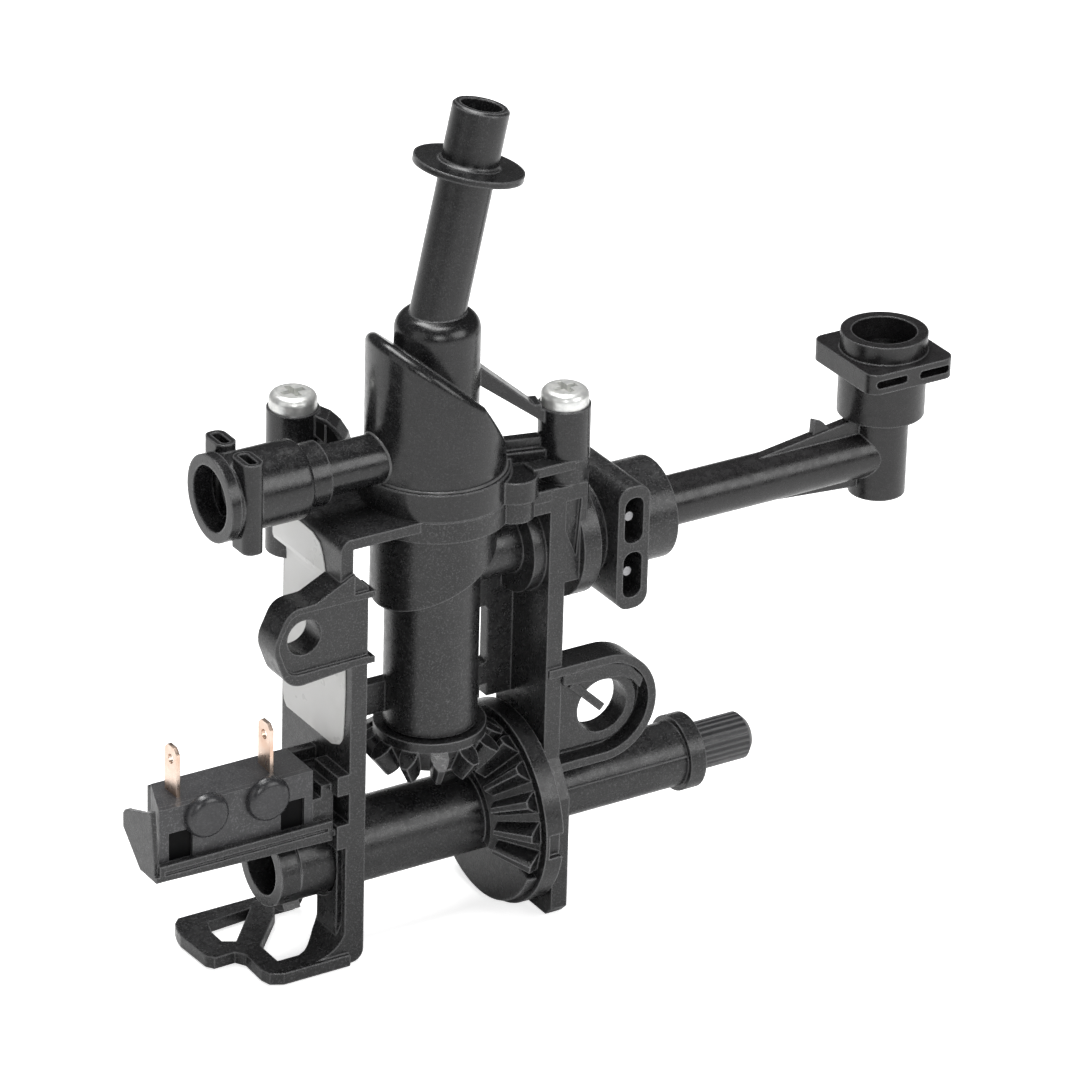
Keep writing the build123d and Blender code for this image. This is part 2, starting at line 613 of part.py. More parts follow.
def make_socket():
    """Side outlet: branch, disc, socket through the right wall, flange and clip block."""
    body = rod_x(3.7, 0, RIGHT_WALL_IN + 0.1, z=OUTLET_Z)
    body += rod_x(6.2, RIGHT_WALL_IN - 1.7, RIGHT_WALL_IN + 0.1, z=OUTLET_Z)
    body += rod_x(SOCKET_R, RIGHT_WALL_OUT - 0.1, SOCKET_END_X, z=OUTLET_Z)
    body += rod_x(8.0, 16.2, 18.6, z=OUTLET_Z)
    half_w = BLOCK_W / 2
    block = box((CLIP_X - half_w, CLIP_X + half_w), (-BLOCK_DEPTH / 2, BLOCK_DEPTH / 2),
                (OUTLET_Z - BLOCK_H / 2, OUTLET_Z + BLOCK_H / 2))
    block = fillet(block.edges().filter_by(Axis.Y), half_w - 0.4)
    return body + block


def make_post():
    """Post for the right cover screw, with the sunk triangle on its front."""
    x1 = RIGHT_SCREW[0] + 1.6
    post = box((RIGHT_WALL_IN, x1), (FRONT_Y, 0.0), (31.6, DECK_Z))
    post += rod_z(SCREW_BOSS_R, DECK_Z - 3, POST_TOP_Z, *RIGHT_SCREW)
    sunk = prism([(RIGHT_WALL_IN + 0.6, DECK_Z - 2.0), (x1 - 0.8, DECK_Z - 2.0), (x1 - 1.4, 34.8)],
                 "Y", FRONT_Y - 1, FRONT_Y + 0.5)
    strap = box((0, RIGHT_WALL_IN + 0.1), (FRONT_Y, FRONT_Y + 4), (DECK_Z - 2.9, DECK_Z - 1.3))
    left_post = rod_z(SCREW_BOSS_R, DECK_Z - 9, DECK_Z, *LEFT_SCREW)
    return post - sunk + strap + left_post


def make_wings():
    """Plates across the bracket in the plane of the valve axis, with the slots."""
    y = (1.1, 2.7)
    foot_z = BODY_BOTTOM_Z
    right = box((BODY_R - 1, RIGHT_WALL_IN + 0.1), y, (foot_z, OUTLET_Z - 3))
    slot_x = (BODY_R + 1.25, BODY_R + 2.8)
    upper = box(slot_x, (0, 4), (18.6, 26.5))
    right -= fillet(upper.edges().filter_by(Axis.Y), 0.7)
    right -= box((BODY_R + 1.9, BODY_R + 2.9), (0, 4), (foot_z - 1, 15.9))
    left = box((LEFT_WALL_IN - 0.1, -BODY_R + 1), y, (15.8, 19.9))
    return right + left


def make_tray():
    """Shelf for the switch on the outer face of the left wall."""
    right = LEFT_WALL_OUT + 0.1
    floor = prism([(TRAY_LEFT_X, TRAY_FRONT_Y), (right, TRAY_FRONT_Y), (right, TRAY_BACK_Y),
                   (SWITCH_LEFT_X + 3.5, TRAY_BACK_Y), (TRAY_LEFT_X, SWITCH_FRONT_Y + 3.0)],
                  "Z", TRAY_LOW_Z, TRAY_FLOOR_Z)
    lip_y = (TRAY_FRONT_Y, TRAY_FRONT_Y + TRAY_LIP_T - 0.1)
    lip = prism([(TRAY_LEFT_X + 0.5, TRAY_LOW_Z + 0.5), (TRAY_LEFT_X + 1.2, TRAY_LOW_Z),
                 (STOP_BLOCK_X - 0.6, TRAY_LOW_Z - 0.6), (STOP_BLOCK_X - 0.6, TRAY_LIP_TOP_Z),
                 (TRAY_LEFT_X + 0.5, TRAY_LIP_TOP_Z)], "Y", *lip_y)
    lip -= box((TRAY_LEFT_X + 1.2, STOP_BLOCK_X - 1.2), (TRAY_FRONT_Y - 1, TRAY_FRONT_Y + 0.35),
               (TRAY_FLOOR_Z - 0.1, TRAY_FLOOR_Z + 0.5))
    back = box((SWITCH_LEFT_X + 2.6, right), (SWITCH_BACK_Y, TRAY_BACK_Y),
               (TRAY_FLOOR_Z, SWITCH_TOP_Z - 0.8))
    stop = box((SWITCH_RIGHT_X, STOP_BLOCK_X), (SWITCH_FRONT_Y, TRAY_BACK_Y),
               (TRAY_FLOOR_Z - 0.1, STOP_BLOCK_TOP_Z))
    stop -= box((SWITCH_RIGHT_X - 1, SWITCH_RIGHT_X + 1.2), (SWITCH_FRONT_Y - 1, SWITCH_FRONT_Y + 2),
                (STOP_BLOCK_TOP_Z - 1.6, STOP_BLOCK_TOP_Z + 1))
    bridge = box((STOP_BLOCK_X - 0.1, right), (SWITCH_FRONT_Y + 3.6, TRAY_BACK_Y),
                 (TRAY_FLOOR_Z - 0.1, STOP_BLOCK_TOP_Z))
    end = prism([(TRAY_FRONT_Y + 0.6, TRAY_LOW_Z), (SWITCH_FRONT_Y + 3.0, TRAY_LOW_Z),
                 (SWITCH_BACK_Y + 0.7, TRAY_FLOOR_Z + 3.1), (SWITCH_BACK_Y + 0.7, TRAY_FLOOR_Z + 5.0),
                 (SWITCH_BACK_Y + 0.2, TRAY_FLOOR_Z + 5.6), (SWITCH_FRONT_Y + 2.5, TRAY_FLOOR_Z + 7.1),
                 (SWITCH_FRONT_Y + 0.5, SWITCH_TOP_Z - 0.1), (TRAY_FRONT_Y + 0.6, TRAY_LIP_TOP_Z)],
                "X", TRAY_LEFT_X, SWITCH_LEFT_X - 0.2)
    body = floor + lip + back + stop + bridge + end
    for low, high in TRAY_WEBS:
        body += box((STOP_BLOCK_X - 0.3, right), (FRONT_Y, SWITCH_FRONT_Y + 4.0), (low, high))
    window = box((CAM_X - 2.0, CAM_X + 2.0), (TERMINAL_Y - 2.0, TERMINAL_Y + 2.0), (0, TRAY_FLOOR_Z))
    return body - window


def rounded_outline(points, right, low_z, high_z, y0, y1):
    """Plate across Y from the wall at X = right round the points, which carry their radii."""
    outline = [(right, low_z)] + [(x, z) for x, z, r in points] + [(right, high_z)]
    plate = prism(outline, "Y", y0, y1)
    for x, z, r in points:
        corner = [e for e in plate.edges().filter_by(Axis.Y) if abs(e.center().X - x) < 0.01
                  and abs(e.center().Z - z) < 0.01]
        plate = fillet(corner, r)
    return plate


def make_left_lug():
    y = (LUG_FRONT_Y, LUG_FRONT_Y + LUG_T)
    x0, z0 = LEFT_LUG
    outline = [(x0 + x, z0 + z, r) for x, z, r in LEFT_LUG_OUTLINE]
    face = [(x0 + x, z0 + z, r) for x, z, r in LEFT_LUG_FACE]
    lug = rounded_outline(outline, LEFT_WALL_OUT + 0.1, *LEFT_LUG_ROOT_Z, *y)
    lug += box((LEFT_WALL_OUT, LEFT_WALL_IN), y, (LEFT_LUG_ROOT_Z[0], LEFT_WALL_STEP_Z - 1.0))
    lug -= rounded_outline(face, LEFT_WALL_IN + 1, LEFT_LUG_ROOT_Z[0] + 1.0, z0 + 3.4,
                           y[0] - 1, y[0] + LEFT_LUG_SINK)
    for z in (LEFT_LUG_ROOT_Z[0] + 0.4, z0 + 3.7):
        lug += box((LEFT_WALL_OUT, LEFT_WALL_IN + 0.7), (y[0], y[0] + 3.2), (z - 0.4, z + 0.4))
    return lug - rod_y(LEFT_LUG_HOLE_R, y[0] - 1, y[1] + 1, *LEFT_LUG)


def make_right_lug():
    y = (LUG_FRONT_Y, LUG_FRONT_Y + LUG_T)
    wall = RIGHT_WALL_IN + 0.2
    lug = stadium(RIGHT_LUG, RIGHT_LUG_R, wall, *y)
    floor_y = y[1] - 1.6
    lug -= stadium(RIGHT_LUG, RIGHT_LUG_R - 1.1, wall - 1, y[0] - 1, floor_y)
    boss = rod_y(RIGHT_LUG_HOLE_R + 1.2, y[0] + BOSS_SINK, y[1], *RIGHT_LUG)
    x, z = RIGHT_LUG
    lug += boss
    return lug - rod_y(RIGHT_LUG_HOLE_R, y[0] - 1, y[1] + 1, x, z)


def make_frame():
    body = make_side_walls() + make_foot() + make_body_shell() + make_socket()
    deck = box((LEFT_WALL_TOP_IN - 0.1, 0), (FRONT_Y, DECK_BACK_Y), (DECK_Z - DECK_T, DECK_Z))
    body += deck
    body += make_post() + make_wings() + make_tray() + make_left_lug() + make_right_lug()
    body += rod_x(SLEEVE_R, RIGHT_WALL_OUT - 0.1, SLEEVE_END_X)
    body += rod_x(COLLAR_R, SLEEVE_END_X - COLLAR_T, SLEEVE_END_X)
    body -= foot_opening()
    # bearings
    body -= rod_x(TUBE_R + RUN_FIT, LEFT_WALL_OUT - 1, LEFT_WALL_IN + 1)
    body -= rod_x(TUBE_R + 0.3, TUBE_END_X - 1, LEFT_WALL_OUT)
    body -= rod_x(SHAFT_R + RUN_FIT, RIGHT_WALL_IN - 1, SLEEVE_END_X + 1)
    # valve chamber, stem bore, side way and socket bore
    body -= rod_z(CHAMBER_R, CHAMBER_FLOOR_Z, DECK_Z + 1)
    body -= rod_z(WELL_R, WELL_FLOOR_Z, CHAMBER_FLOOR_Z + 1)
    body -= rod_z(STEM_R + RUN_FIT, BODY_BOTTOM_Z - 1, CHAMBER_FLOOR_Z + 1)
    body -= rod_x(OUTLET_BORE_R, WELL_R - 1, SOCKET_FLOOR_X + 1, z=OUTLET_Z)
    body -= rod_x(SOCKET_BORE_R, SOCKET_FLOOR_X, SOCKET_END_X + 1, z=OUTLET_Z)
    body -= clip_slots(0.1)
    # screw holes
    for x, y in (RIGHT_SCREW, LEFT_SCREW):
        body -= rod_z(SCREW_R, SCREW_TOP_Z - SCREW_LENGTH, SCREW_TOP_Z, x, y)
    return body


# ---------------------------------------------------------------- outlet pipe and clip
def make_outlet_pipe():
    spigot_r = SOCKET_BORE_R - SEAT_FIT
    start = SOCKET_FLOOR_X + 0.2
    body = rod_x(spigot_r, start, SOCKET_END_X - 2.0, z=OUTLET_Z)
    body += rod_x(PIPE_R, SOCKET_END_X - 2.1, ELBOW_X, z=OUTLET_Z)
    body += rod_z(RISER_R, RISER_BOTTOM_Z, ELBOW_COLLAR_Z + 0.1, ELBOW_X)
    body += rod_z(ELBOW_COLLAR_R, ELBOW_COLLAR_Z, TOP_PORT_Z, ELBOW_X)
    half_x, half_y = 6.2, 6.65
    plate = box((ELBOW_X - half_x, ELBOW_X + half_x), (-half_y, half_y),
                (TOP_PLATE_Z, TOP_PLATE_Z + TOP_PLATE_T))
    plate = fillet(plate.edges().filter_by(Axis.Z), 1.6)
    body += plate
    gusset = prism([(ELBOW_X - 19, OUTLET_Z), (ELBOW_X - 19, OUTLET_Z + PIPE_R - 0.2),
                    (ELBOW_X - 3, OUTLET_Z + 5.2), (ELBOW_X, OUTLET_Z + 5.2), (ELBOW_X, OUTLET_Z - 4.2),
                    (ELBOW_X - 3, OUTLET_Z - 4.2), (ELBOW_X - 19, OUTLET_Z - PIPE_R + 0.2)],
                   "Y", -0.7, 0.7)
    body += gusset
    # groove for the clip and for the seal
    groove_r = SOCKET_BORE_R - 1.2
    body -= rod_x(spigot_r + 1, CLIP_X - 1.0, CLIP_X + 1.0, z=OUTLET_Z) \
        - rod_x(groove_r, CLIP_X - 2, CLIP_X + 2, z=OUTLET_Z)
    seal_r = SOCKET_BORE_R - 2 * O_RING_WIRE_R - 0.05
    body -= rod_x(spigot_r + 1, 18.4, 19.9, z=OUTLET_Z) - rod_x(seal_r, 18, 20.4, z=OUTLET_Z)
    # water way
    body -= rod_x(PIPE_BORE_R, start - 1, ELBOW_X, z=OUTLET_Z)
    body -= rod_z(PIPE_BORE_R, OUTLET_Z - PIPE_BORE_R - 0.8, TOP_PORT_Z, ELBOW_X)
    body -= rod_z(PORT_BORE_R, TOP_PORT_Z - OUTLET_PORT_DEPTH, TOP_PORT_Z + 1, ELBOW_X)
    for side in (-1, 1):
        x = ELBOW_X + side * 3.1
        slot = box((x - 2.2, x + 2.2), (-9, 9), (TOP_PLATE_Z + 0.8, TOP_PLATE_Z + TOP_PLATE_T - 0.8))
        body -= fillet(slot.edges().filter_by(Axis.Y), 0.45)
    return body


def make_clip():
    """Spring wire hairpin: two legs through the slots and a bend behind."""
    reach = SOCKET_BORE_R - 1.2 + CLIP_WIRE_R + 0.05
    front, back = -7.4, BLOCK_DEPTH / 2 + 1.4
    clip = rod_y(CLIP_WIRE_R, front, back, CLIP_X, OUTLET_Z + reach)
    clip += rod_y(CLIP_WIRE_R, front, back, CLIP_X, OUTLET_Z - reach)
    bend = Pos(CLIP_X, back, OUTLET_Z) * Rot(0, 90, 0) * Torus(reach, CLIP_WIRE_R)
    bend -= box((CLIP_X - 5, CLIP_X + 5), (-20, back), (OUTLET_Z - 20, OUTLET_Z + 20))
    return clip + bend


# ---------------------------------------------------------------- cover
def spout_place(along):
    """Location on the spout's axis, with Z along the spout."""
    return Pos(0, 0, BULB_TOP_Z) * Rot(0, SPOUT_TILT, 0) * Pos(0, 0, along)


def right_arm():
    """Brace from the bulb to the right screw boss, as distance from the valve axis and Z."""
    end = hypot(*RIGHT_SCREW) - SCREW_HEAD_R - 0.35
    low = SCREW_TOP_Z - 1.9
    return [(BULB_R - 1, BULB_TOP_Z - 9.1), (BULB_R - 1, BULB_TOP_Z - 6.6),
            (end - 0.9, SCREW_TOP_Z + 0.7), (end, SCREW_TOP_Z + 0.7), (end, SCREW_TOP_Z - 0.05),
            (end + 0.6, SCREW_TOP_Z - 0.05), (end + 0.6, low)]


def left_arm():
    """Curved brace from the left screw boss down to the cover's flange."""
    end = hypot(*LEFT_SCREW) - SCREW_BOSS_R + 0.3
    curve = [(0.0, 0.3), (1.4, 0.8), (2.6, 1.8), (3.6, 3.3), (4.2, 5.4)]
    outer = [(end - back, SCREW_TOP_Z - drop) for back, drop in curve]
    foot = [(end - 4.4, COVER_TOP_Z - 0.5), (end - 2.2, COVER_TOP_Z - 0.5)]
    return outer + foot + [(end - 1.5, SCREW_TOP_Z - 4.1), (end, SCREW_TOP_Z - 2.9)]


def make_cover():
    body = rod_z(COVER_FLANGE_R, DECK_Z, COVER_TOP_Z)
    body += rod_z(LOBE_R, DECK_Z, COVER_TOP_Z - 0.8, *LOBE_AT)
    dome = rod_z(DOME_R, COVER_TOP_Z - 0.1, DOME_MID_Z + 9)
    above = Pos(0, 0, DOME_MID_Z) * Rot(0, DOME_SLOPE, 0) * Pos(0, 0, 15) * Box(60, 60, 30)
    dome -= above
    shoulder = Pos(SHOULDER_AT[0], 0, SHOULDER_AT[1]) * Rot(0, SHOULDER_SLOPE, 0) * Pos(0, 0, 15)
    dome -= shoulder * Box(60, 60, 30)
    dome = fillet(dome.edges().filter_by(GeomType.ELLIPSE), 0.9)
    body += dome
    bulb = rod_z(BULB_R, COVER_TOP_Z, BULB_TOP_Z)
    bulb = fillet(bulb.edges().group_by(Axis.Z)[-1], 2.2)
    body += bulb
    body += spout_place(SPOUT_FLANGE_AT / 2 - 1.0) * Cylinder(SPOUT_R, SPOUT_FLANGE_AT + 2.0)
    body += spout_place(SPOUT_FLANGE_AT) * Cylinder(SPOUT_FLANGE_R, SPOUT_FLANGE_T)
    tip = SPOUT_LENGTH - SPOUT_FLANGE_AT
    barrel = Cylinder(BARREL_R, tip)
    barrel = chamfer(barrel.edges().group_by(Axis.Z)[-1], BARREL_CHAMFER)
    body += spout_place(SPOUT_FLANGE_AT + tip / 2) * barrel
    # the same chamfer again, as a root on the disc
    root = SPOUT_FLANGE_AT + SPOUT_FLANGE_T / 2 + BARREL_CHAMFER / 2
    body += spout_place(root) * Cone(BARREL_R + 2 * BARREL_CHAMFER, BARREL_R - BARREL_CHAMFER,
                                     3 * BARREL_CHAMFER)
    # left port
    body += rod_x(INLET_TUBE_R, INLET_COLLAR_END_X - 0.1, -DOME_R + 3, z=INLET_Z)
    body += rod_x(INLET_COLLAR_R, INLET_BODY_END_X - 0.1, INLET_COLLAR_END_X, z=INLET_Z)
    port = rod_x(INLET_R, INLET_END_X, INLET_BODY_END_X, z=INLET_Z)
    body += fillet(port.edges().group_by(Axis.X)[-1], 0.8)
    body += rod_x(INLET_RIM_R, INLET_END_X, INLET_END_X + 1.4, z=INLET_Z)
    for side in (-1, 1):
        column = Pos(INLET_CLIP_X, side * COLUMN_Y, INLET_Z) * Box(*COLUMN)
        body += fillet(column.edges().filter_by(Axis.Z), COLUMN[0] / 2 - 0.2)
    # screw bosses and their webs
    for (x, y), profile, half in ((RIGHT_SCREW, right_arm(), 1.3), (LEFT_SCREW, left_arm(), 1.5)):
        low = POST_TOP_Z + 0.02 if x > 0 else DECK_Z
        body += rod_z(SCREW_BOSS_R, low, SCREW_TOP_Z, x, y)
        bar = box((0, hypot(x, y)), (-1.6, 1.6), (low, POST_TOP_Z + 1.4))
        web = box((0, hypot(x, y) - SCREW_BOSS_R), (-0.7, 0.7), (low, COVER_TOP_Z + 2.0))
        arm = prism(profile, "Y", -half, half)
        turn = degrees(acos(x / hypot(x, y))) * (1 if y > 0 else -1)
        body += Rot(0, 0, turn) * (bar + web + arm)
    # disc seat
    body -= rod_z(CHAMBER_R, DECK_Z - 1, DECK_Z + DISC_STONE_T + SEAL_T)
    # water ways
    body -= rod_z(WAY_R, DECK_Z, INLET_Z, -WAY_AT)
    body -= rod_x(WAY_R, INLET_END_X + PORT_DEPTH - 1, -WAY_AT, z=INLET_Z)
    body -= rod_x(PORT_BORE_R, INLET_END_X - 1, INLET_END_X + PORT_DEPTH, z=INLET_Z)
    body -= rod_z(WAY_R, DECK_Z, BULB_TOP_Z - 6, WAY_AT - 0.9)
    body -= rod_z(SPOUT_BORE_R + 0.6, DOME_MID_Z, BULB_TOP_Z - 2)
    body -= spout_place(SPOUT_LENGTH / 2) * Cylinder(SPOUT_BORE_R, SPOUT_LENGTH + 6)
    for side in (-1, 1):
        slot = Pos(INLET_CLIP_X, side * COLUMN_Y, INLET_Z) * Box(*COLUMN_SLOT, COLUMN[2] + 2)
        body -= fillet(slot.edges().filter_by(Axis.Z), COLUMN_SLOT[0] / 2 - 0.1)
    for x, y in (RIGHT_SCREW, LEFT_SCREW):
        body -= rod_z(SCREW_R + 0.2, DECK_Z - 1, SCREW_TOP_Z + 1, x, y)
    return body


def make_screws():
    screws = []
    for x, y in (RIGHT_SCREW, LEFT_SCREW):
        head = rod_z(SCREW_HEAD_R, SCREW_TOP_Z, SCREW_TOP_Z + SCREW_HEAD_T, x, y)
        head = fillet(head.edges().group_by(Axis.Z)[-1], 1.0)
        shank = rod_z(SCREW_R - 0.05, SCREW_TOP_Z - SCREW_LENGTH + 0.3, SCREW_TOP_Z + 0.1, x, y)
        cross = Box(3.0, 0.8, 2.4) + Box(0.8, 3.0, 2.4)
        screws.append(head + shank - Pos(x, y, SCREW_TOP_Z + SCREW_HEAD_T) * cross)
    return Compound(children=screws)


# ---------------------------------------------------------------- switch
PIN_XS = [SWITCH_MID_X - PIN_SPACING / 2, SWITCH_MID_X + PIN_SPACING / 2]
TERMINAL_SHIFT = -0.4
TERMINAL_XS = [SWITCH_MID_X + TERMINAL_SHIFT - TERMINAL_SPACING / 2,
               SWITCH_MID_X + TERMINAL_SHIFT + TERMINAL_SPACING / 2]
PLUNGER_TOP_Z = TRAY_FLOOR_Z + SWITCH_WALL + 0.5
BLADE_Z = PLUNGER_TOP_Z + PLUNGER_RISE + 0.1
BLADE_T = 0.25
CONTACT_GAP = 0.4


def switch_outline(inset, y0, y1, z0, z1):
    """Case outline from above: a box whose left end is slanted."""
    x0, x1 = SWITCH_LEFT_X + inset, SWITCH_RIGHT_X - inset
    share = (SWITCH_BACK_Y - y1) / SWITCH_DEPTH
    back_x = x0 + SWITCH_CORNER * (1 - share)
    front_x = x0 + SWITCH_CORNER * (1 - (SWITCH_BACK_Y - y0) / SWITCH_DEPTH)
    return prism([(front_x, y0), (x1, y0), (x1, y1), (back_x, y1)], "Z", z0, z1)


def make_switch_case():
    cover_y = SWITCH_FRONT_Y + SWITCH_COVER_T
    body = switch_outline(0.0, cover_y, SWITCH_BACK_Y, TRAY_FLOOR_Z, SWITCH_TOP_Z)
    body -= switch_outline(SWITCH_WALL, cover_y - 0.1, SWITCH_BACK_Y - SWITCH_WALL,
                           TRAY_FLOOR_Z + SWITCH_WALL, SWITCH_TOP_Z - SWITCH_WALL)
    for x in PIN_XS:
        body += rod_y(PIN_R + 0.3, cover_y, SWITCH_BACK_Y, x, PIN_Z)
    for x in PIN_XS:
        body -= rod_y(PIN_R + SEAT_FIT, cover_y - 1, SWITCH_BACK_Y + 1, x, PIN_Z)
    for x in TERMINAL_XS:
        body -= box((x - TERMINAL_T / 2, x + TERMINAL_T / 2),
                    (TERMINAL_Y - TERMINAL_W / 2, TERMINAL_Y + TERMINAL_W / 2),
                    (SWITCH_TOP_Z - 2, SWITCH_TOP_Z + 1))
    return body - rod_z(PLUNGER_R + RUN_FIT, TRAY_FLOOR_Z - 1, TRAY_FLOOR_Z + 2, CAM_X, TERMINAL_Y)


def make_switch_cover():
    body = switch_outline(0.0, SWITCH_FRONT_Y, SWITCH_FRONT_Y + SWITCH_COVER_T,
                          TRAY_FLOOR_Z, SWITCH_TOP_Z)
    for x in PIN_XS:
        body -= rod_y(PIN_R + SEAT_FIT, SWITCH_FRONT_Y - 1, SWITCH_FRONT_Y + 2, x, PIN_Z)
    for at in RECESS_AT:
        x = SWITCH_LEFT_X + at
        body -= box((x - RECESS[0] / 2, x + RECESS[0] / 2), (SWITCH_FRONT_Y - 1, SWITCH_FRONT_Y + 0.5),
                    (RECESS_TOP_Z - RECESS[1], RECESS_TOP_Z))
    return body


def make_terminal(x, low_z):
    blade = box((x - TERMINAL_T / 2, x + TERMINAL_T / 2),
                (TERMINAL_Y - TERMINAL_W / 2, TERMINAL_Y + TERMINAL_W / 2),
                (low_z, SWITCH_TOP_Z + TERMINAL_REACH))
    top = blade.edges().filter_by(Axis.X).group_by(Axis.Z)[-1]
    blade = chamfer(top, 0.7)
    return blade - Pos(x, TERMINAL_Y, SWITCH_TOP_Z + TERMINAL_REACH - 1.7) * Rot(0, 90, 0) \
        * Cylinder(0.6, 2)


def make_plunger():
    body = rod_z(PLUNGER_R, PLUNGER_LOW_Z, PLUNGER_TOP_Z, CAM_X, TERMINAL_Y)
    return fillet(body.edges().group_by(Axis.Z)[0], PLUNGER_ROUND)


def make_blade():
    """Snap blade over the plunger, hung from the common terminal's foot."""
    left = TERMINAL_XS[0] - TERMINAL_T / 2
    return box((left, CAM_X + 1.0), (TERMINAL_Y - 1.0, TERMINAL_Y + 1.0), (BLADE_Z, BLADE_Z + BLADE_T))


def make_pins():
    pins = []
    for x in PIN_XS:
        shank = rod_y(PIN_R, SWITCH_FRONT_Y - 0.1, SWITCH_BACK_Y, x, PIN_Z)
        head = Pos(x, SWITCH_FRONT_Y, PIN_Z) * Rot(90, 0, 0) * Cylinder(PIN_HEAD_R, 2 * PIN_HEAD_T)
        head -= box((x - 9, x + 9), (SWITCH_FRONT_Y, SWITCH_FRONT_Y + 9), (PIN_Z - 9, PIN_Z + 9))
        head = fillet(head.edges().group_by(Axis.Y)[0], 1.1)
        pins.append(shank + head)
    return Compound(children=pins)


# ---------------------------------------------------------------- build
save("frame", make_frame())
save("valve_cover", make_cover())
save("cover_screws", make_screws())
save("outlet_pipe", make_outlet_pipe())
save("outlet_clip", make_clip())
save("outlet_o_ring", o_ring(SOCKET_BORE_R - O_RING_WIRE_R - 0.03, O_RING_WIRE_R, 19.15, "X"))
save("fixed_disc", make_fixed_disc())
save("disc_seal", make_disc_seal())
save("moving_disc", make_moving_disc())
save("rotor", make_rotor())
save("thrust_spring", make_thrust_spring())
for number, groove_z in enumerate(GROOVES_Z, 1):
    save(f"stem_o_ring_{number}", o_ring(STEM_SEAL_R, O_RING_WIRE_R, groove_z, "Z"))
save("bevel_pinion", make_pinion())
save("drive_gear", make_drive_gear())
save("knob_spindle", make_spindle())
save("switch_case", make_switch_case())
save("switch_cover", make_switch_cover())
save("switch_plunger", make_plunger())
save("switch_blade", make_blade())
save("common_terminal", make_terminal(TERMINAL_XS[0], BLADE_Z + BLADE_T))
save("contact_terminal", make_terminal(TERMINAL_XS[1], BLADE_Z + BLADE_T + CONTACT_GAP))
save("switch_pins", make_pins())
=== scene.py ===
import bmesh
import bpy
import json
import math
from mathutils import Matrix, Vector


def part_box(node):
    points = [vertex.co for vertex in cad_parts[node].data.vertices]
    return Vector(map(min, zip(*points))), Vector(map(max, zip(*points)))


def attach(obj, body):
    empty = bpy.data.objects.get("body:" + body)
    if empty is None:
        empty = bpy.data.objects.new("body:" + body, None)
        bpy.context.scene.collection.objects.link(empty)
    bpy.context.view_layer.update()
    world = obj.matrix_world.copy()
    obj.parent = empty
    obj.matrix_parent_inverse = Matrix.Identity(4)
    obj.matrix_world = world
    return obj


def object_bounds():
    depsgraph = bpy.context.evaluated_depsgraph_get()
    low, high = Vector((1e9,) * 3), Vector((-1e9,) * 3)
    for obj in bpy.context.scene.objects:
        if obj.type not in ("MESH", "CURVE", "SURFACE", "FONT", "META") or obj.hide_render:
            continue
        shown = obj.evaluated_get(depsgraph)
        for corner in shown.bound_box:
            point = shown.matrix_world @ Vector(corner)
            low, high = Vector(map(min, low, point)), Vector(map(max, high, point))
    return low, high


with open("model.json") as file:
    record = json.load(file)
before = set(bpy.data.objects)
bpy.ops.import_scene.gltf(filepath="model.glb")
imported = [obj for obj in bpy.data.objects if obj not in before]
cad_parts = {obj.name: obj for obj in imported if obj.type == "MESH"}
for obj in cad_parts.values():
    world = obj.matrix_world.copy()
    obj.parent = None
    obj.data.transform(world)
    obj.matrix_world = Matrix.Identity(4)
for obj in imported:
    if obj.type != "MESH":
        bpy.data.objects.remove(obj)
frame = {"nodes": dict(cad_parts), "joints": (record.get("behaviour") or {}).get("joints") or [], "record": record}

cad_low, cad_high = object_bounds()

# ------------------------------------------------------------------ places
# Places are in millimetres from the point where the knob's shaft crosses the valve's axis.
# X runs along the shaft towards the knob, Y to the back and Z up.
MM = 0.001
joints = {joint["name"]: joint for joint in frame["joints"]}
mounts = {mount["name"]: mount for mount in frame["record"]["mounts"]}
crossing = Vector(joints["knob_turn"]["pos_m"])


def at(x, y, z):
    """Point of the frame, in metres."""
    return crossing + Vector((x, y, z)) * MM


def to_mm(point):
    """Millimetres from the crossing, for a point that the frame gives in metres."""
    return (Vector(point) - crossing) / MM


def spread(first, last, steps):
    """Angles in radians from first to last degrees, evenly spread, both ends included."""
    return [math.radians(first + (last - first) * i / steps) for i in range(steps + 1)]


def full_turn(steps):
    """Angles in radians round a full turn, evenly spread, each once."""
    return spread(0, 360, steps)[:-1]


# ------------------------------------------------------------------ node helpers
MIDDLE, WIDE = (0.35, 0.65), (0.3, 0.7)     # parts of a noise's range that ramps spread out
MIX_FACTOR, MIX_A, MIX_B, MIX_RESULT = 0, 6, 7, 2       # a mix node's sockets for colours
BEVEL_SAMPLES = 4
FINE_EDGE = 0.1 * MM


def add_node(tree, kind, **values):
    """New node. A value goes to the node's attribute of that name or, without one, to its input."""
    node = tree.nodes.new(kind)
    for key, value in values.items():
        if hasattr(node, key):
            setattr(node, key, value)
        else:
            node.inputs[key.replace("_", " ")].default_value = value
    return node


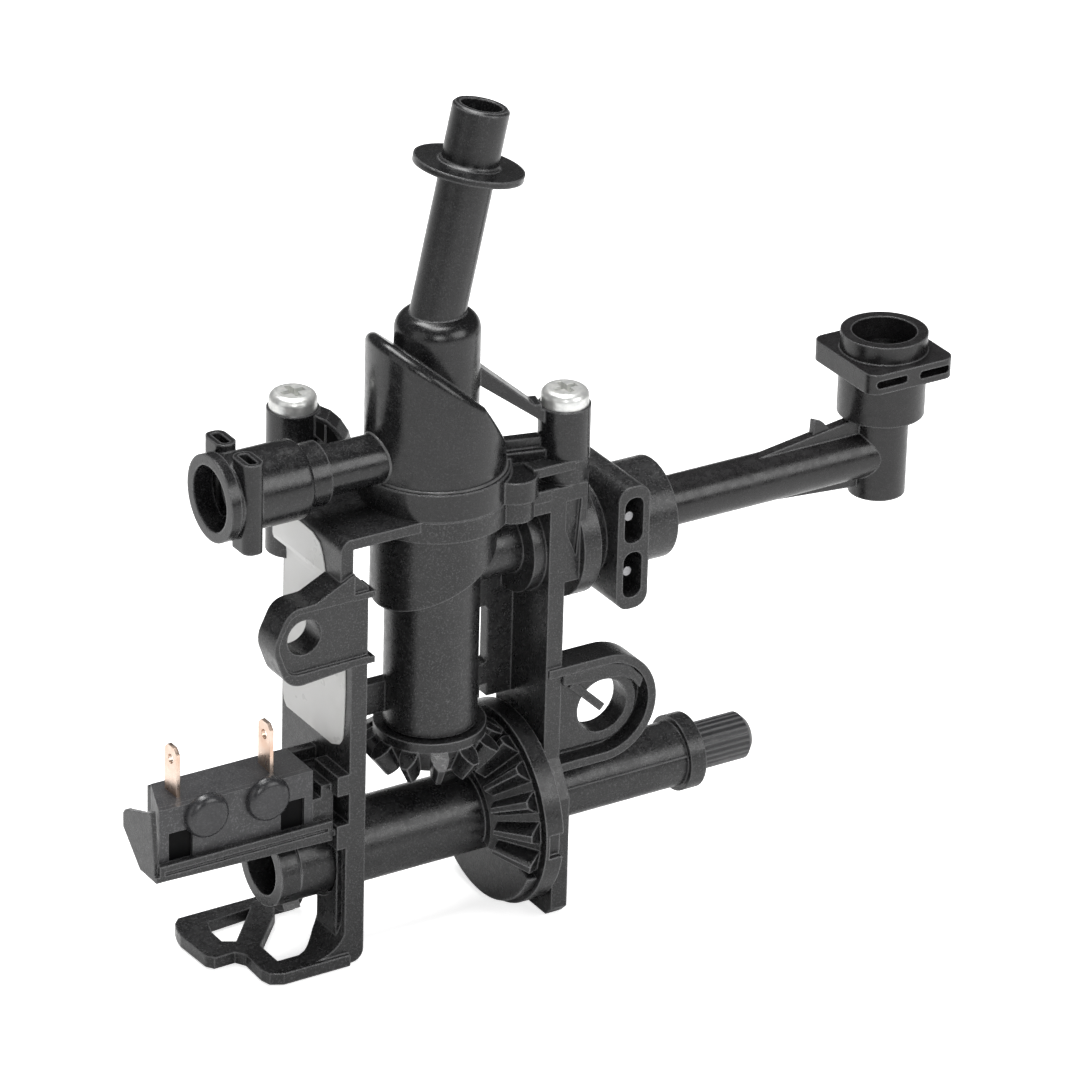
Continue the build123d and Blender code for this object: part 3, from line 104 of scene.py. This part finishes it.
class Mat:
    """A material whose nodes are made by short calls, which mostly return an output socket."""

    def __init__(self, name):
        self.material = bpy.data.materials.new(name)
        self.material.use_nodes = True
        self.tree = self.material.node_tree
        self.shader = self.tree.nodes["Principled BSDF"]
        self.place = self.node("ShaderNodeTexCoord").outputs["Object"]

    def node(self, kind, **values):
        return add_node(self.tree, kind, **values)

    def link(self, output, socket):
        self.tree.links.new(output, socket)

    def noise(self, scale, detail, rough, stretch=(1, 1, 1)):
        move = self.node("ShaderNodeMapping", Scale=stretch)
        self.link(self.place, move.inputs["Vector"])
        noise = self.node("ShaderNodeTexNoise", Scale=scale, Detail=detail, Roughness=rough)
        self.link(move.outputs["Vector"], noise.inputs["Vector"])
        return noise.outputs["Fac"]

    def ramp(self, value, source, target=(0, 1)):
        """Value carried from one range to another, and held at the ends."""
        ramp = self.node("ShaderNodeMapRange", From_Min=source[0], From_Max=source[1],
                         To_Min=target[0], To_Max=target[1])
        self.link(value, ramp.inputs["Value"])
        return ramp.outputs["Result"]

    def mix(self, factor, colour_a, colour_b):
        """Colour between two, each given as red, green and blue or as an output."""
        mix = self.node("ShaderNodeMix", data_type="RGBA")
        self.link(factor, mix.inputs[MIX_FACTOR])
        for socket, colour in ((mix.inputs[MIX_A], colour_a), (mix.inputs[MIX_B], colour_b)):
            if isinstance(colour, tuple):
                socket.default_value = (*colour, 1)
            else:
                self.link(colour, socket)
        return mix.outputs[MIX_RESULT]

    def bump(self, height, strength, distance, normal=None):
        bump = self.node("ShaderNodeBump", Strength=strength, Distance=distance)
        self.link(height, bump.inputs["Height"])
        if normal is not None:
            self.link(normal, bump.inputs["Normal"])
        return bump.outputs["Normal"]

    def rounded(self, radius):
        """Normal that rounds the edges."""
        return self.node("ShaderNodeBevel", samples=BEVEL_SAMPLES, Radius=radius).outputs["Normal"]

    def edge_highlight_mask(self, radius):
        """1 along edges, 0 on faces: how far the rounded normal leans from the face, which places the painted edge
        highlight.
        """
        face, edge = 0.995, 0.9
        lean = self.node("ShaderNodeVectorMath", operation="DOT_PRODUCT")
        self.link(self.rounded(radius), lean.inputs[0])
        self.link(self.node("ShaderNodeNewGeometry").outputs["Normal"], lean.inputs[1])
        return self.ramp(lean.outputs["Value"], (face, edge))

    def number(self, socket, value):
        """Sets a number that is the same all over the surface."""
        self.shader.inputs[socket].default_value = value

    def finish(self, colour, roughness, normal):
        """Links the three outputs that every finish here has, and returns the material."""
        self.link(colour, self.shader.inputs["Base Color"])
        self.link(roughness, self.shader.inputs["Roughness"])
        self.link(normal, self.shader.inputs["Normal"])
        return self.material


# ------------------------------------------------------------------ kinds of finish
def nylon(name, dark, light, rough, grain, speckle, edge=0.3 * MM, highlight_grey=0.15):
    """Black glass-filled moulding: mottle, fibre speckle partly brightened into painted glints, fine grain and a
    painted highlight on the edges.
    """
    m = Mat(name)
    # Speckle: pale glass-fibre specks, made bright enough to stand in for glints, so partly a painted highlight.
    fibre_and_glint_colour = tuple(5.0 * c + 0.05 for c in light)
    painted_edge_highlight = (highlight_grey, highlight_grey, highlight_grey * 1.02)
    mottle = m.ramp(m.noise(scale=260, detail=3, rough=0.6), MIDDLE)
    fibres_and_glints = m.ramp(m.noise(scale=4600, detail=2, rough=0.7), (0.53, 0.68), (0, speckle))
    colour = m.mix(fibres_and_glints, m.mix(mottle, dark, light), fibre_and_glint_colour)
    # Painted highlight: the edge mask mixes every edge towards a pale grey, the same in light and shade.
    colour = m.mix(m.edge_highlight_mask(edge), colour, painted_edge_highlight)
    roughness = m.ramp(m.noise(scale=900, detail=4, rough=0.7), WIDE, (rough - 0.1, rough + 0.1))
    pits = m.noise(scale=3200, detail=3, rough=0.75)
    normal = m.bump(pits, strength=grain, distance=0.06 * MM, normal=m.rounded(edge))
    return m.finish(colour, roughness, normal)


def metal(name, dark, light, rough, scale, stretch=(1, 1, 1), metallic=1.0):
    """Bright metal, with streaks where its noise is stretched."""
    m = Mat(name)
    m.number("Metallic", metallic)
    tint = m.ramp(m.noise(scale, detail=3, rough=0.6, stretch=stretch), WIDE)
    smears = m.noise(3 * scale, detail=3, rough=0.6, stretch=stretch)
    roughness = m.ramp(smears, WIDE, (rough - 0.06, rough + 0.08))
    scratches = m.noise(6 * scale, detail=2, rough=0.5, stretch=stretch)
    normal = m.bump(scratches, strength=0.12, distance=0.03 * MM, normal=m.rounded(FINE_EDGE))
    return m.finish(m.mix(tint, dark, light), roughness, normal)


def smooth_body(name, dark, light, rough, specular=0.5):
    """Smooth solid colour with a faint cloud, for ceramic, rubber and the painted shade on recess floors."""
    m = Mat(name)
    m.number("Specular IOR Level", specular)
    cloud = m.ramp(m.noise(scale=300, detail=3, rough=0.6), MIDDLE)
    smears = m.noise(scale=900, detail=2, rough=0.5)
    roughness = m.ramp(smears, WIDE, (rough - 0.04, rough + 0.05))
    ripple = m.noise(scale=3500, detail=2, rough=0.5)
    normal = m.bump(ripple, strength=0.06, distance=0.03 * MM, normal=m.rounded(FINE_EDGE))
    return m.finish(m.mix(cloud, dark, light), roughness, normal)


def film(name, dark, light):
    """Satin label film, slightly uneven where it lies on the moulding."""
    m = Mat(name)
    cloud = m.ramp(m.noise(scale=90, detail=3, rough=0.6), MIDDLE)
    roughness = m.ramp(m.noise(scale=300, detail=3, rough=0.6), WIDE, (0.26, 0.4))
    normal = m.bump(m.noise(scale=500, detail=2, rough=0.5), strength=0.1, distance=0.05 * MM)
    return m.finish(m.mix(cloud, dark, light), roughness, normal)


# ------------------------------------------------------------------ materials
bracket = nylon("bracket_nylon", dark=(0.008, 0.008, 0.0085), light=(0.015, 0.015, 0.0155),
                rough=0.30, grain=0.45, speckle=0.5)
cover = nylon("cover_nylon", dark=(0.006, 0.006, 0.0065), light=(0.010, 0.010, 0.0105),
              rough=0.24, grain=0.14, speckle=0.3, edge=0.4 * MM)
# Painted highlight: the beads are coloured about ten times lighter than the cover, standing in for the reflection
# along their rounded top; their low roughness is real gloss.
bead_painted_highlight = nylon("bead_highlight_nylon", dark=(0.07, 0.07, 0.07), light=(0.10, 0.10, 0.10),
                   rough=0.18, grain=0.1, speckle=0.1)
pipe = nylon("pipe_nylon", dark=(0.007, 0.0065, 0.007), light=(0.012, 0.0115, 0.012),
             rough=0.28, grain=0.2, speckle=0.15)
# The gear's edges take a brighter painted highlight.
gear = nylon("gear_acetal", dark=(0.006, 0.006, 0.0065), light=(0.011, 0.011, 0.0115),
             rough=0.30, grain=0.45, speckle=0.4, highlight_grey=0.22)
knob = nylon("spindle_acetal", dark=(0.006, 0.006, 0.007), light=(0.010, 0.010, 0.011),
             rough=0.38, grain=0.4, speckle=0.2)
switch = nylon("switch_thermoset", dark=(0.030, 0.030, 0.032), light=(0.042, 0.042, 0.044),
               rough=0.42, grain=0.4, speckle=0.3, edge=0.1 * MM)
pins = nylon("pin_plastic", dark=(0.018, 0.018, 0.020), light=(0.026, 0.026, 0.028),
             rough=0.26, grain=0.2, speckle=0.2, edge=0.2 * MM)
zinc = metal("zinc_plate", dark=(0.66, 0.67, 0.66), light=(0.88, 0.88, 0.85),
             rough=0.34, scale=900, metallic=0.7)
spring = metal("spring_wire", dark=(0.26, 0.26, 0.27), light=(0.36, 0.36, 0.37),
               rough=0.3, scale=700, stretch=(1, 8, 8))
blade = metal("tinned_brass", dark=(0.72, 0.50, 0.38), light=(0.86, 0.72, 0.62),
              rough=0.3, scale=350)
ceramic = smooth_body("alumina", dark=(0.82, 0.80, 0.76), light=(0.88, 0.87, 0.84), rough=0.25)
# Painted shade: a near-black, barely reflecting finish for the floors of the switch's windows and the arm's
# pocket.
painted_recess_shade = smooth_body("painted_recess_shade", dark=(0.0015, 0.0015, 0.0018),
                          light=(0.003, 0.003, 0.003), rough=0.6, specular=0.1)
rubber = smooth_body("seal_rubber", dark=(0.012, 0.012, 0.012), light=(0.02, 0.02, 0.02), rough=0.6)
label_film = film("label_film", dark=(0.62, 0.62, 0.60), light=(0.70, 0.70, 0.69))

looks = {
    "frame": bracket, "valve_cover": cover, "outlet_pipe": pipe,
    "drive_gear": gear, "bevel_pinion": gear, "rotor": gear,
    "knob_spindle": knob, "switch_plunger": knob,
    "switch_case": switch, "switch_cover": switch, "switch_pins": pins,
    "cover_screws": zinc, "outlet_clip": spring, "thrust_spring": spring,
    "common_terminal": blade, "contact_terminal": blade, "switch_blade": blade,
    "fixed_disc": ceramic, "moving_disc": ceramic, "disc_seal": rubber,
    "stem_o_ring_1": rubber, "stem_o_ring_2": rubber, "outlet_o_ring": rubber,
}
for name, node_object in frame["nodes"].items():
    node_object.data.materials.clear()
    node_object.data.materials.append(looks[name])


# ------------------------------------------------------------------ piece helpers
def skin(rings, closed):
    """Points and faces over rings of equal length, capped unless the rings close in a loop."""
    sides = len(rings[0])
    points = [point for ring in rings for point in ring]
    faces = []
    for i in range(len(rings) if closed else len(rings) - 1):
        a, b = sides * i, sides * ((i + 1) % len(rings))
        faces += [(a + k, a + (k + 1) % sides, b + (k + 1) % sides, b + k) for k in range(sides)]
    if not closed:
        last = len(points) - sides
        faces += [tuple(range(sides)), tuple(range(last, last + sides))]
    return points, faces


def make_piece(name, rings, material, body="bracket", closed=False):
    """Object skinned over rings of points, which rides on a body and takes a slot's finish."""
    points, faces = skin(rings, closed)
    mesh = bpy.data.meshes.new(name)
    mesh.from_pydata(points, [], faces)
    bm = bmesh.new()
    bm.from_mesh(mesh)
    bmesh.ops.recalc_face_normals(bm, faces=bm.faces)
    bm.to_mesh(mesh)
    bm.free()
    mesh.materials.append(material)
    ob = bpy.data.objects.new(name, mesh)
    bpy.context.scene.collection.objects.link(ob)
    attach(ob, body)
    return ob


def soften(ob, width):
    """Rounds the sharp edges by a width in millimetres."""
    bevel = ob.modifiers.new("edges", "BEVEL")
    bevel.width = width * MM
    bevel.segments = 2
    bevel.limit_method = "ANGLE"


def across_x(y, z, depth):
    return at(depth, y, z)


def across_y(x, z, depth):
    return at(x, depth, z)


def slab(name, outline, low, high, material, place=across_y, edge=0.15):
    """Prism of an outline between two depths, which `place` turns into points."""
    rings = [[place(a, b, depth) for a, b in outline] for depth in (low, high)]
    soften(make_piece(name, rings, material), edge)


def oblong(left, right, bottom, top):
    """Outline of a rectangle with rounded corners."""
    r = 0.2
    corners = ((right - r, top - r, 0), (left + r, top - r, 90),
               (left + r, bottom + r, 180), (right - r, bottom + r, 270))
    return [(x + r * math.cos(a), z + r * math.sin(a))
            for x, z, start in corners for a in spread(start, start + 90, steps=5)]


def bead(name, line):
    """Round bead along a closed line of points about the valve's axis."""
    radius, sides = 0.22, 8
    rings = []
    for i, point in enumerate(line):
        along = (line[(i + 1) % len(line)] - line[i - 1]).normalized()
        outward = Vector((point.x, point.y, 0))
        side = (outward - along * outward.dot(along)).normalized()
        up = along.cross(side)
        rings.append([at(*(point + (side * math.cos(a) + up * math.sin(a)) * radius))
                      for a in full_turn(sides)])
    ob = make_piece(name, rings, bead_painted_highlight, closed=True)
    for face in ob.data.polygons:
        face.use_smooth = True


# ------------------------------------------------------------------ label
def label_plate():
    """Bare film on the left wall's outer face, which follows the wall's step."""
    wall_x, thickness = -15.02, 0.12
    step_z, step_height, step_out = 36.8, 1.6, 1.6
    bottom, top, rows = 15.7, 43.0, 40
    front, back = -5.6, 8.9
    corner, back_share = 2.2, 0.4               # the back corners are rounded less
    bow, bow_z, bow_height, most_bow = 1.4, 24.0, 12.0, 3.0     # the front edge runs back from bow_z
    rings = []
    for i in range(rows + 1):
        z = bottom + (top - bottom) * i / rows
        x = wall_x - step_out * min(1.0, max(0.0, (z - step_z) / step_height))
        from_end = max(0.0, min(z - bottom, top - z, corner))
        round_in = corner - math.sqrt(corner ** 2 - (corner - from_end) ** 2)
        front_y = front + min(bow * ((z - bow_z) / bow_height) ** 2, most_bow) + round_in
        back_y = back - round_in * back_share
        rings.append([at(x, front_y, z), at(x - thickness, front_y, z),
                      at(x - thickness, back_y, z), at(x, back_y, z)])
    make_piece("label_plate", rings, label_film)


label_plate()

# ------------------------------------------------------------------ beads on the cover
DOME_R = 8.4
COVER_TOP_Z = 47.9
PORT_TUBE_R = 3.05
PORT_Z = to_mm(mounts["inlet_port"]["pos_m"]).z


def dome_root():
    """Line just off the corner where the dome meets the cover's flange."""
    proud = 0.05
    radius, z = DOME_R + proud, COVER_TOP_Z + proud
    return [Vector((radius * math.cos(a), radius * math.sin(a), z)) for a in full_turn(steps=96)]


def port_root():
    """Line where the inlet tube runs into the dome."""
    line = []
    for a in full_turn(steps=64):
        y, z = PORT_TUBE_R * math.cos(a), PORT_Z + PORT_TUBE_R * math.sin(a)
        line.append(Vector((-math.sqrt(DOME_R ** 2 - y ** 2), y, z)))
    return line


bead("dome_root_bead", dome_root())
bead("port_root_bead", port_root())


# ------------------------------------------------------------------ gear
def gear_blank():
    """Plain part of the gear's disc, which no teeth were cut into."""
    inner, outer = 5.0, 12.0
    first, last = 116, 308              # degrees from the top, over the front
    disc_back = to_mm(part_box("drive_gear")[1]).x
    front, back = disc_back - 3.9, disc_back - 2.3
    section = ((inner, back), (inner, front), (outer, front), (outer, back))
    rings = [[at(x, -r * math.sin(a), r * math.cos(a)) for r, x in section]
             for a in spread(first, last, steps=64)]
    soften(make_piece("gear_blank", rings, gear, body="drive"), 0.25)


gear_blank()


# ------------------------------------------------------------------ switch
def switch_windows():
    """Near-black floors in the two windows in the switch's front: painted shade."""
    width, height, thickness = 3.1, 3.8, 0.08
    corner = to_mm(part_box("switch_cover")[0])
    bottom, front = corner.z + 1.05, corner.y + 0.41
    for number, from_left in enumerate((1.35, 16.35)):
        left = corner.x + from_left
        outline = oblong(left, left + width, bottom, bottom + height)
        slab(f"switch_window_{number}", outline, front, front + thickness, painted_recess_shade,
             edge=0.02)


switch_windows()


# ------------------------------------------------------------------ right lug
def right_lug():
    """Floor on the wall's side of the lug's hole, thicker rim above it, and a stop tongue."""
    hole = to_mm(mounts["right_lug_hole"]["pos_m"])
    hole_r = mounts["right_lug_hole"]["dims"]["r_mm"]
    rim_y, ring_y, floor_y = -7.28, -6.36, -4.8
    tongue_front, tongue_back = -6.75, -5.2
    wall_x = -6.15                      # measured from the hole's axis, as the outlines are

    def place(x, z, depth):
        return at(hole.x + x, depth, hole.z + z)

    half_hole = [(-hole_r * math.sin(a), -hole_r * math.cos(a)) for a in spread(0, 180, steps=20)]
    floor = [(wall_x, -4.7), (0, -4.7)] + half_hole + [(0, 4.0), (wall_x, 4.6)]
    rim = [(wall_x, 6.1), (0, 6.1), (3.1, 5.25), (5.3, 2.9), (4.8, 1.5), (3.7, 2.9), (2.2, 3.75),
           (0, 3.95), (wall_x, 4.5)]
    tongue = [(-4.3, 4.6), (-5.0, 3.8), (-0.55, -0.45), (0.15, 0.35)]
    slab("lug_floor", floor, ring_y, floor_y, bracket, place, edge=0.2)
    slab("lug_rim", rim, rim_y, floor_y, bracket, place, edge=0.25)
    slab("lug_tongue", tongue, tongue_front, tongue_back, bracket, place, edge=0.12)


right_lug()


# ------------------------------------------------------------------ left arm
def left_arm():
    """Pocket with a thin rib, in the arm from the valve's axis to the left screw; the pocket's near-black floor is
    painted shade.
    """
    left_screw = (-13.1, 10.7)
    along = Vector(left_screw).normalized()
    side = Vector((-along.y, along.x))
    sunk, pocket_face, rib_face = 1.45, 1.54, 1.64      # from the arm's middle

    def place(out, z, depth):
        x, y = along * out + side * depth
        return at(x, y, z)

    pocket = [(13.9, 52.7), (12.75, 52.3), (11.8, 51.4), (11.0, 50.1), (10.5, 48.4), (11.7, 48.3),
              (12.4, 49.7), (13.9, 50.9)]
    rib = [(12.9, 52.4), (12.6, 52.3), (12.6, 49.9), (12.9, 50.1)]
    for name, outline, face, material in (("arm_pocket", pocket, pocket_face, painted_recess_shade),
                                          ("arm_rib", rib, rib_face, bracket)):
        rings = [[place(out, z, depth) for out, z in outline] for depth in (sunk, face)]
        make_piece(name, rings, material)


left_arm()


# ------------------------------------------------------------------ sleeve, pipe and post
def sleeve_seam():
    """Raised seam along the upper front of the spindle's sleeve, up to its collar."""
    foot_r, top_r, foot_half, top_half = 3.9, 4.32, 0.2, 0.1
    turned = math.radians(20)
    wall_x, collar_x = 14.3, to_mm(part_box("frame")[1]).x - 2.4
    outline = [(-r * math.cos(turned) - out * math.sin(turned),
                r * math.sin(turned) - out * math.cos(turned))
               for r, out in ((foot_r, -foot_half), (top_r, -top_half), (top_r, top_half),
                              (foot_r, foot_half))]
    slab("sleeve_seam", outline, wall_x, collar_x, bracket, across_x, edge=0.05)


def pipe_fin():
    """Small upright fin on the pipe, just before the elbow."""
    elbow_x = to_mm(mounts["outlet_port"]["pos_m"]).x
    outline = [(elbow_x - 10.3, 37.6), (elbow_x - 10.1, 41.2), (elbow_x - 8.7, 40.6),
               (elbow_x - 6.5, 38.2), (elbow_x - 6.5, 37.6)]
    half = 0.5
    slab("pipe_fin", outline, -half, half, pipe)


def post_straps():
    """Straps that tie the right post to the flange."""
    inner_x, front, back = 9.5, -6.79, -4.4
    slab("post_strap_upper", oblong(inner_x, 15.4, 46.2, 47.5), front, back, bracket)
    slab("post_strap_lower", oblong(inner_x, 13.2, 42.8, 44.4), front, back, bracket)


sleeve_seam()
pipe_fin()
post_straps()

# ------------------------------------------------------------------ camera
AZIMUTH, ELEVATION, ROLL = (math.radians(angle) for angle in (-32.437, 26.574, 1.618))
CAMERA_PLACE = (-0.341256, -0.588801, 0.353008)

camera = bpy.data.objects.new("camera", bpy.data.cameras.new("camera"))
bpy.context.scene.collection.objects.link(camera)
camera.data.lens = 220.0
camera.data.sensor_width = 36.0
camera.data.clip_start = 0.05
camera.data.clip_end = 20
turn = (Matrix.Rotation(AZIMUTH, 4, "Z") @ Matrix.Rotation(math.pi / 2 - ELEVATION, 4, "X")
        @ Matrix.Rotation(ROLL, 4, "Z"))
camera.matrix_world = Matrix.Translation(CAMERA_PLACE) @ turn
bpy.context.scene.camera = camera


# ------------------------------------------------------------------ floor and world
def floor_material():
    """Matt pale floor, with a glow that only camera and transmission rays see."""
    mat = bpy.data.materials.new("floor")
    mat.use_nodes = True
    tree = mat.node_tree
    tree.nodes.clear()
    out = add_node(tree, "ShaderNodeOutputMaterial")
    diffuse = add_node(tree, "ShaderNodeBsdfDiffuse", Color=(0.9, 0.9, 0.9, 1))
    glow = add_node(tree, "ShaderNodeEmission", Color=(1, 1, 1, 1), Strength=0.72)
    ray = add_node(tree, "ShaderNodeLightPath")
    seen = add_node(tree, "ShaderNodeMath", operation="MAXIMUM")
    lit = add_node(tree, "ShaderNodeAddShader")
    mix = add_node(tree, "ShaderNodeMixShader")
    for output, socket in ((ray.outputs["Is Camera Ray"], seen.inputs[0]),
                           (ray.outputs["Is Transmission Ray"], seen.inputs[1]),
                           (diffuse.outputs[0], lit.inputs[0]),
                           (glow.outputs[0], lit.inputs[1]),
                           (seen.outputs[0], mix.inputs[0]),
                           (diffuse.outputs[0], mix.inputs[1]),
                           (lit.outputs[0], mix.inputs[2]),
                           (mix.outputs[0], out.inputs["Surface"])):
        tree.links.new(output, socket)
    return mat


def make_floor():
    """Square floor at the height of the part's lowest point."""
    half, z = 3.0, cad_low[2]
    mesh = bpy.data.meshes.new("floor")
    mesh.from_pydata([(-half, -half, z), (half, -half, z), (half, half, z), (-half, half, z)],
                     [], [(0, 1, 2, 3)])
    mesh.materials.append(floor_material())
    floor = bpy.data.objects.new("floor", mesh)
    bpy.context.scene.collection.objects.link(floor)


def make_world():
    """White to the camera, and a faint even light to everything else."""
    world = bpy.data.worlds.new("world")
    bpy.context.scene.world = world
    world.use_nodes = True
    tree = world.node_tree
    sky = tree.nodes["Background"]
    sky.inputs["Color"].default_value = (1, 1, 1, 1)
    ray = add_node(tree, "ShaderNodeLightPath")
    level = add_node(tree, "ShaderNodeMapRange", To_Min=0.08, To_Max=1.0)
    tree.links.new(ray.outputs["Is Camera Ray"], level.inputs["Value"])
    tree.links.new(level.outputs["Result"], sky.inputs["Strength"])


make_floor()
make_world()


# ------------------------------------------------------------------ lamps
def lamp(name, place, size, power):
    """Soft box that faces the part, with its size in metres and its power in watts."""
    aim = Vector((0.02, 0.0, 0.0))
    data = bpy.data.lights.new(name, "AREA")
    data.shape = "RECTANGLE"
    data.size, data.size_y = size
    data.energy = power
    ob = bpy.data.objects.new(name, data)
    bpy.context.scene.collection.objects.link(ob)
    ob.location = place
    ob.rotation_euler = (aim - Vector(place)).to_track_quat("-Z", "Y").to_euler()


lamp("overhead", place=(0.02, 0.12, 0.80), size=(0.40, 0.70), power=10.0)
lamp("front_right", place=(0.44, -0.68, 0.40), size=(0.50, 0.50), power=3.0)
lamp("front", place=(-0.30, -0.70, 0.36), size=(0.30, 0.30), power=1.5)
lamp("left_fill", place=(-0.70, -0.10, 0.30), size=(0.5, 0.6), power=0.9)

view = bpy.context.scene.view_settings
view.view_transform = "Standard"
